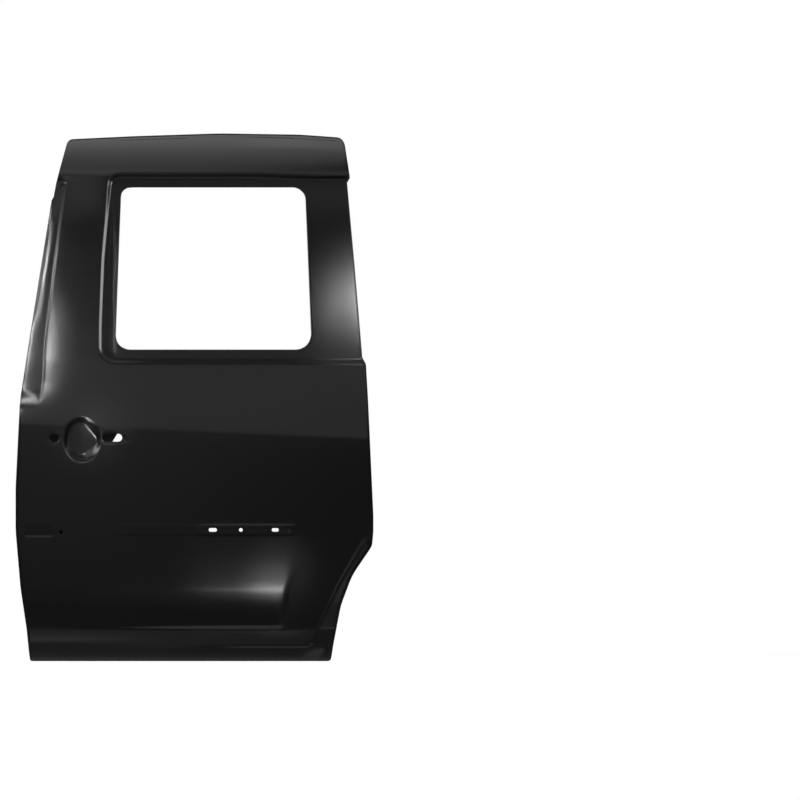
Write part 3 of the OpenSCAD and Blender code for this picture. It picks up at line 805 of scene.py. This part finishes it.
# %% Outlines in the inner sheets
pan = [[116, 106, 30], [640, 114, 40], [700, 200, 60], [740, 250, 40], [746, 566, 80], [746, 650, 20],
       [70, 650, 20], [66, 158, 40]]
shelf = [[79, 274, 8], [118, 162, 30], [142, 130, 10], [164, 130, 10], [262, 180, 8], [380, 130, 10],
         [400, 130, 10], [501, 180, 8], [608, 125, 10], [628, 130, 10], [648, 172, 30], [714, 256, 8],
         [680, 310, 0], [126, 310, 0]]
low_bead = box_path(172, 34, 680, 64, 12)
pillar_pad = [[92, 724, 6], [176, 724, 6], [170, 820, 6], [98, 820, 6]]
window_frame = [[-60, 672, 0], [940, 672, 0], [940, 712, 0], [852, 728, 20], [822, 772, 40],
                [814, 860, 100], [796, 1130, 90], [752, 1214, 60], [650, 1222, 100], [230, 1220, 60],
                [160, 1206, 60], [132, 1120, 60], [92, 770, 60], [60, 728, 30], [-60, 712, 0]]
carriage_seat = box_path(753, 606, 837, 662, 24)
upper_seat = box_path(141, 1206, 237, 1255, 10)
lower_seat = box_path(44, 30, 126, 84, 10)
# Beads that stiffen the frame and the floor: a line, its width and its height
beads = [
    ([(806, 800), (787, 1110), (768, 1168), (738, 1200), (700, 1209), (536, 1211), (220, 1208), (172, 1196),
      (146, 1150), (102, 780)], 18, 3),
    ([(161, 1100), (137, 838)], 15, 3),
    ([(250, 1198), (215, 1175), (194, 1116), (184, 988)], 16, 4),
    ([(178, 816), (190, 785), (208, 761)], 16, 4),
    ([(704, 270), (618, 144), (501, 210), (384, 144), (268, 210), (151, 148), (93, 270)], 16, 4.5),
    ([(248, 608), (190, 618), (124, 610)], 15, 3.5),
    ([(239, 576), (137, 576)], 15, 3.5),
    ([(742, 92), (165, 92)], 12, 2.2),
    ([(742, 76), (165, 76)], 12, 2.2)]
# Bosses under screws and hinges of the lock, and pads under the brackets at the belt
bosses = [(738, 594, 11), (709, 536, 14), (737, 428, 11), (746, 369, 11), (161, 680, 10), (100, 666, 10),
          (116, 612, 9), (85, 509, 10), (142, 378, 11), (787, 1262, 12), (174, 721, 10), (104, 739, 9)]
pads = [box_path(c - 24, 664, c + 24, 690, 8) for c in (666, 484, 280)]
print(len(beads), "beads,", len(bosses), "bosses and", len(pads), "pads on the inner sheets")

# %% [markdown]
# ## What the press does to the inner sheets
# Below the belt the inner sheet's land is upright. Above it, the land keeps its distance from the
# leaning outer sheet. The pan, the shelf and the window's frame step down or up from the land,
# and a soft minimum rounds the ridge where the land meets the slopes along the edges.

# %% The inner face
land_y = 92
header_d = 32


def land_y_at(z):
    """How far inboard the inner sheet's land lies, before it is softened."""
    line_z = [-40, 0, 14, 102, belt_z - 60, belt_z - 30]
    line_y = [30, 60, 62, land_y, land_y, land_y - 16]
    over_z = list(range(736, 1300, 12))
    over_y = [side_y(z0) + header_d * slant(z0) for z0 in over_z]
    return np.interp(z, line_z + over_z, line_y + over_y)


land_soft = softened(land_y_at(heights), 25)


def soft_min(a, b, r):
    """The smaller of two heights, with the edge between them rounded."""
    h = np.clip(0.5 + 0.5 * (b - a) / r, 0, 1)
    return b * (1 - h) + a * h - r * h * (1 - h)


def inner_y(x, z):
    """How far inboard the inner sheets lie at each point, on the side that looks into the van."""
    below = outer_y(x, z) + skin_t + panel_t
    y = np.interp(z, heights, land_soft)
    y += 16 * slant(z) * step(window_frame, 22, x, z) * ease((z - 680) / 30)
    for outline, depth, run in ((pan, 14, 16), (shelf, 12, 9), (low_bead, 5, 9), (pillar_pad, 5, 7)):
        y -= depth * step(outline, run, x, z)
    for line, width, height in beads:
        y += height * ridge(line, width, x, z)
    for bx, bz, r in bosses:
        y += 3.2 * knob(bx, bz, r, 5, x, z)
    for pad in pads:
        y += 3 * step(pad, 7, x, z)
    # The window's frame steps down towards the glass
    to_window = -depth_in(window_line, x, z, 90)
    y -= 12 * (1 - ease((to_window - 40) / 9))
    # Slopes at the rear and at the front, below the belt
    over_belt = 60 * ease((z - 700) / 40) + 600 * ease((z - 730) / 60)
    y = soft_min(y, land_y - (x - 796) * 80 / 67 + over_belt, 9)
    y = soft_min(y, land_y - (44 - x) * 80 / 27 + over_belt, 7)
    for seat, seat_y in ((carriage_seat, land_y + 2), (lower_seat, land_y - 12), (upper_seat, 240.5)):
        y += (seat_y - y) * step(seat, 8, x, z)
    # Walls down to the flange in the fold and to the flange round the window
    y = below + (y - below) * ease((depth_in(door_outline, x, z, 90) - 12) / 12)
    y = below + (y - below) * ease((to_window - 14) / 24)
    return np.maximum(y, below)


in_pan = inner_y(np.array([440.0]), np.array([250.0])) - outer_y(np.array([440.0]), np.array([250.0]))
print(f"The pan's floor lies {in_pan[0]:.0f} mm behind the outer face")


# %% [markdown]
# ## The holes of the inner sheets
# The lock and its rods are fitted through a large service opening, which saves weight as well.
# It crosses the seam, and so does a slot for the trim, so both are punched in both sheets. The
# small round holes mostly take the bolts of the plates behind them.

# %% Holes of the inner sheets
service = rounded([[153, 188, 10], [640, 188, 10], [677, 245, 20], [689, 320, 30], [706, 405, 20],
                   [696, 475, 20], [660, 512, 12], [656, 632, 16], [280, 632, 20], [258, 572, 12],
                   [233, 531, 12], [210, 403, 8], [172, 400, 10], [160, 366, 12], [121, 315, 12],
                   [114, 250, 20], [133, 207, 16]])
pillar_slot = rounded([[133, 816, 10], [218, 812, 10], [212, 978, 24], [138, 984, 10]])
trim_slot = slot_of(249, 151, 28, 11)
small_holes = [(738, 594, 6), (746, 369, 6), (771, 634, 5.2), (823, 634, 5.2)]
main_holes = [service, slot_of(803, 678, 40, 26), slot_of(501, 151, 28, 11), ring_of(743, 104, 8), trim_slot]
main_holes += [ring_of(x, z, r, count=20) for x, z, r in small_holes]
front_holes = [service, pillar_slot, slot_of(183, 456, 20, 12), trim_slot]
front_holes += [ring_of(189 + s * 32, 1230, 4.5, count=20) for s in (-1, 1)]
front_holes += [ring_of(85 + s * 26, 57, 5.2, count=20) for s in (-1, 1)]
front_holes += [ring_of(135 + s * 25, 463 + t * 22, 3.5, count=16) for s in (-1, 1) for t in (-1, 1)]
print(len(main_holes), "holes in the main sheet and", len(front_holes), "in the front one")

# %% [markdown]
# ## The two inner sheets
# Both come from the same grid, and `bisect_plane` cuts it at the seam, so that they meet there
# without a step. Two grids would have to be matched along the seam by hand.

# %% The inner sheets
seam_x = 242
inner_columns = spread((0, 11, 3), (11, 26, 7), (26, 69, 11), (69, 207, 38), (207, 245, 13),
                       (245, 690, 100), (690, 728, 9), (728, 785, 17), (785, 854, 19), (854, 869, 7),
                       (869, 880, 3))
inner_rows = spread((0, 11, 3), (11, 26, 7), (26, 200, 48), (200, 632, 96), (632, 766, 37),
                    (766, 1166, 84), (1166, 1272, 28), (1272, 1290, 8), (1290, door_h, 3))


def inner_sheet(name, front):
    """The part of the inner pressing in front of the seam, or the part behind it."""
    bm = pressed(inner_columns, inner_rows, skin_t + 1, inner_y)
    bmesh.ops.bisect_plane(bm, geom=bm.verts[:] + bm.edges[:] + bm.faces[:], plane_co=(seam_x, 0, 0),
                           plane_no=(1, 0, 0), clear_outer=front, clear_inner=not front)
    face_side(bm, (seam_x, land_y, 690), 1)
    return finish_mesh(name, bm, primer)


inner = inner_sheet("inner_sheet", False)
thicken(inner, panel_t)
punch(inner, main_holes)
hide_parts("inner_panel")
print_triangles(inner)
front_inner = inner_sheet("front_inner_sheet", True)
thicken(front_inner, panel_t)
punch(front_inner, front_holes)
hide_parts("front_inner_panel")
print_triangles(front_inner)

# %% [markdown]
# ## The bead of sealer
# A pale bead covers the cut edge of the fold all the way round. It is laid by a nozzle, so it is
# a low rounded band that follows the outline. It could be a curve with a thickness, but the
# band is wide and flat. So the points of a circle move onto the door's outline instead, the
# ring is pushed on along a drawn section, and the last ring is bridged to the first.

# %% The sealer
sealer_section = [(-3.6, 4.4), (-4.4, 5.4), (-6.5, 5.9), (-9, 5.9), (-11, 5.3), (-12.2, 4.0), (-12.6, 2.9)]
sealer_points = 640


def sealer_bead():
    bm = bmesh.new()
    closed = np.vstack([door_outline, door_outline[:1]])
    lengths = np.r_[0, np.cumsum(np.hypot(*np.diff(closed, axis=0).T))]
    even = np.linspace(0, lengths[-1], sealer_points, endpoint=False)
    xs = np.interp(even, lengths, closed[:, 0])
    zs = np.interp(even, lengths, closed[:, 1])
    ring = bmesh.ops.create_circle(bm, segments=sealer_points, radius=1)["verts"]
    edges = bm.edges[:]
    way = np.c_[np.roll(xs, -1) - np.roll(xs, 1), np.roll(zs, -1) - np.roll(zs, 1)]
    way /= np.linalg.norm(way, axis=1)[:, None]
    out = {v: Vector((w[1], 0, -w[0])) for v, w in zip(ring, way)}
    first_out, first_up = sealer_section[0]
    for v, x, y, z in zip(ring, xs, outer_y(xs, zs), zs):
        v.co = Vector((x, y, z)) + out[v] * first_out + Vector((0, first_up, 0))
    fold(bm, edges, out, [(a - first_out, b - first_up) for a, b in sealer_section[1:]])
    bmesh.ops.bridge_loops(bm, edges=[e for e in bm.edges if e.is_boundary])
    bmesh.ops.recalc_face_normals(bm, faces=bm.faces)
    return finish_mesh("hem_sealer", bm, sealer)


bead = sealer_bead()
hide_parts("hem_sealer_front", "hem_sealer_rear", "hem_sealer_top", "hem_sealer_bottom")
print_triangles(bead)

# %% [markdown]
# ## Camera
# A parts catalogue shows a panel square on and from far away, so that nothing is foreshortened.
# A very long lens does that here. The camera is aimed to the right of the door, so that the door
# stands left of the picture's middle.

# %% Camera
lens = 1600.0
sensor = 36.0
picture = 800
mm_per_px = 2.458
door_px = Vector((194.5, 396.9))
distance = mm_per_px * picture * MM * lens / sensor
centre = Vector(((cad_low.x + cad_high.x) / 2, 0, (cad_low.z + cad_high.z) / 2))
off_centre = (Vector((picture / 2, picture / 2)) - door_px) * mm_per_px * MM
cam_data = bpy.data.cameras.new("Camera")
cam_data.lens = lens
cam_data.sensor_width = sensor
cam_data.clip_end = distance * 3
cam = bpy.data.objects.new("Camera", cam_data)
bpy.context.collection.objects.link(cam)
cam.location = centre + Vector((0, cad_low.y - distance, 0))
aim = Vector((centre.x + off_centre.x, cad_low.y, centre.z - off_centre.y))
cam.rotation_euler = (aim - cam.location).to_track_quat("-Z", "Y").to_euler()
bpy.context.scene.camera = cam
bpy.context.scene.view_settings.view_transform = "Standard"
print(f"The camera stands {distance:.0f} m away")

# %% [markdown]
# ## Lamps
# A softbox is an area lamp. In a studio, a honeycomb before it narrows its beam, so that it makes
# one soft glow and leaves the rest dark, and the lamp's spread does the same here. Places are
# given in the door's millimetres, beside the forms that they light.


# %% A softbox
def from_door(x, y, z):
    """A place in millimetres, from the front bottom corner, as metres in the frame."""
    return Vector((x + shift[0], y + shift[1], z + shift[2])) * MM


def softbox(name, where, at, wide, tall, radiance, spread=180):
    """A lamp at one place, aimed at another, of a size in millimetres."""
    data = bpy.data.lights.new(name, "AREA")
    data.shape = "RECTANGLE"
    data.size = wide * MM
    data.size_y = tall * MM
    data.spread = math.radians(spread)
    # A narrow spread gathers the power, so the power comes down to keep the lamp's brightness
    half = data.spread / 2
    gather = 1 if spread == 180 else 1 - half / math.tan(half)
    data.energy = radiance * math.pi * wide * tall * MM * MM * gather
    lamp = bpy.data.objects.new(name, data)
    lamp.location = from_door(*where)
    lamp.rotation_euler = (from_door(*at) - lamp.location).to_track_quat("-Z", "Y").to_euler()
    lamp.visible_camera = False
    bpy.context.collection.objects.link(lamp)


# %% [markdown]
# ## Light
# A black part shows hardly any colour of its own: what the eye sees is the lamps in its gloss.
# Broad panels in front and overhead light the header, the belt and the lower panel. Small boxes
# with a narrow beam each make one glow: on the two pillars, at the foot of the ledge, in the
# handle's cup, and on the flare and the arch. A few plain boxes light the door from the sides
# and from behind.

# %% Lights
softbox("Front panel", (440, -2500, 1450), (440, 0, 900), 3600, 1250, 0.9)
softbox("High panel", (300, -850, 2912), (440, 150, 1180), 3000, 1150, 0.8)
softbox("Overhead panel", (100, 350, 3250), (440, 200, 1250), 2800, 1500, 0.9)
softbox("Rear overhead panel", (100, 1650, 2850), (440, 200, 1250), 2800, 1100, 0.85)
softbox("Low front panel", (0, -1800, 300), (200, 0, 300), 1000, 900, 0.25)

softbox("Rear pillar box", (1010, -684, 1370), (865, 80, 890), 150, 100, 150, 24)
softbox("Front pillar box", (-270, -705, 1140), (90, 50, 790), 160, 200, 105, 26)
softbox("High front box", (-1320, -1968, 2642), (25, 90, 945), 150, 150, 1300, 10)
softbox("High pillar box", (115, -1167, 2010), (118, 100, 1200), 160, 100, 105, 4)
softbox("Low front box", (-1295, -1940, 2455), (22, 60, 655), 150, 150, 1200, 6)
softbox("Cup box", (920, -1230, 1290), (178, 30, 555), 100, 100, 1200, 6)
softbox("Cup top box", (-77, -758, 1642), (187, 20, 505), 100, 100, 1200, 6)
softbox("Cup low box", (-240, -1220, 80), (203, 10, 583), 100, 100, 1200, 6)
softbox("Arch box", (660, -1000, 362), (640, 10, 200), 100, 100, 240, 11)
softbox("Sill box", (500, -1000, 362), (500, 10, 205), 100, 100, 45, 12)
softbox("Wheel arch box", (1380, -1310, -220), (800, 20, 170), 200, 200, 9, 16)

softbox("Rear side box", (1900, -700, 1700), (200, 100, 960), 500, 700, 34, 36)
softbox("Front side box", (-1500, -500, 1500), (100, 60, 850), 500, 1000, 16)
softbox("Back high box", (440, 2600, 2500), (440, 90, 700), 700, 300, 9)
softbox("Back front box", (-1700, 1500, 700), (200, 90, 650), 300, 900, 10)
softbox("Back rear box", (2600, 1500, 700), (700, 90, 650), 300, 900, 10)
print(len(bpy.data.lights), "lamps light the door")

# %% [markdown]
# ## World and ground
# The white of a catalogue picture isn't light on the part. A Light Path node shows white to the
# camera and to clear glass, and to gloss only straight behind the door, while the door itself
# stands in a dim grey world. The floor is pale and glows a little for the same rays, so that it
# turns white but still takes the door's shadow.

# %% World
dim_grey = 0.18
world = bpy.data.worlds.new("Studio")
bpy.context.scene.world = world
world.use_nodes = True
nodes, links = world.node_tree.nodes, world.node_tree.links
nodes.clear()


def maths(tree, operation, a, b):
    """A Math node's result for two inputs, each a number or another node's output."""
    node = tree.nodes.new("ShaderNodeMath")
    node.operation = operation
    for socket, value in zip(node.inputs, (a, b)):
        if isinstance(value, (int, float)):
            socket.default_value = value
        else:
            tree.links.new(value, socket)
    return node.outputs[0]


def background(grey):
    node = nodes.new("ShaderNodeBackground")
    node.inputs["Color"].default_value = (grey, grey, grey, 1)
    return node.outputs[0]


path = nodes.new("ShaderNodeLightPath")
way = nodes.new("ShaderNodeTexCoord")
split = nodes.new("ShaderNodeSeparateXYZ")
links.new(way.outputs["Generated"], split.inputs[0])
behind = nodes.new("ShaderNodeMapRange")
behind.inputs["From Min"].default_value = 0.85
behind.inputs["From Max"].default_value = 1.0
links.new(split.outputs["Y"], behind.inputs["Value"])
glossy = maths(world.node_tree, "MULTIPLY", path.outputs["Is Glossy Ray"], behind.outputs["Result"])
seen = maths(world.node_tree, "MAXIMUM", path.outputs["Is Camera Ray"], path.outputs["Is Transmission Ray"])
mix = nodes.new("ShaderNodeMixShader")
end = nodes.new("ShaderNodeOutputWorld")
links.new(maths(world.node_tree, "MAXIMUM", seen, glossy), mix.inputs[0])
links.new(background(dim_grey), mix.inputs[1])
links.new(background(1), mix.inputs[2])
links.new(mix.outputs[0], end.inputs["Surface"])
print(f"The door stands in a world of {dim_grey} grey")

# %% [markdown]
# ## The floor
# It is a single face under the door. It can be looked through from below, so that the door's
# inner side also shows from there.

# %% Floor
floor_glow = 0.65
ground = new_material("pale_floor", (0.8, 0.8, 0.8), 0.9, 0.1)
tree = ground.node_tree
rays = tree.nodes.new("ShaderNodeLightPath")
shown = maths(tree, "MAXIMUM", rays.outputs["Is Camera Ray"], rays.outputs["Is Transmission Ray"])
shown = maths(tree, "MAXIMUM", shown, rays.outputs["Is Glossy Ray"])
shader_of(ground).inputs["Emission Color"].default_value = (1, 1, 1, 1)
tree.links.new(maths(tree, "MULTIPLY", shown, floor_glow), shader_of(ground).inputs["Emission Strength"])
faces = tree.nodes.new("ShaderNodeNewGeometry")
tree.links.new(maths(tree, "SUBTRACT", 1.0, faces.outputs["Backfacing"]), shader_of(ground).inputs["Alpha"])
bm = bmesh.new()
bmesh.ops.create_grid(bm, x_segments=1, y_segments=1, size=1)
for v in bm.verts:
    v.co = from_door(440 + 2600 * v.co.x, 1220 + 1280 * v.co.y, 0)
mesh = bpy.data.meshes.new("floor")
bm.to_mesh(mesh)
bm.free()
mesh.materials.append(ground)
floor = add_object(mesh)
print(f"The floor is {floor.dimensions.x:.1f} by {floor.dimensions.y:.1f} m")

# %% [markdown]
# ## Size
# The finished pieces stand in for solids, and the box of those solids is printed. They have
# to keep within the same box.

# %% The box of the solids
print("CAD box", [round(v, 4) for v in (*cad_low, *cad_high)])
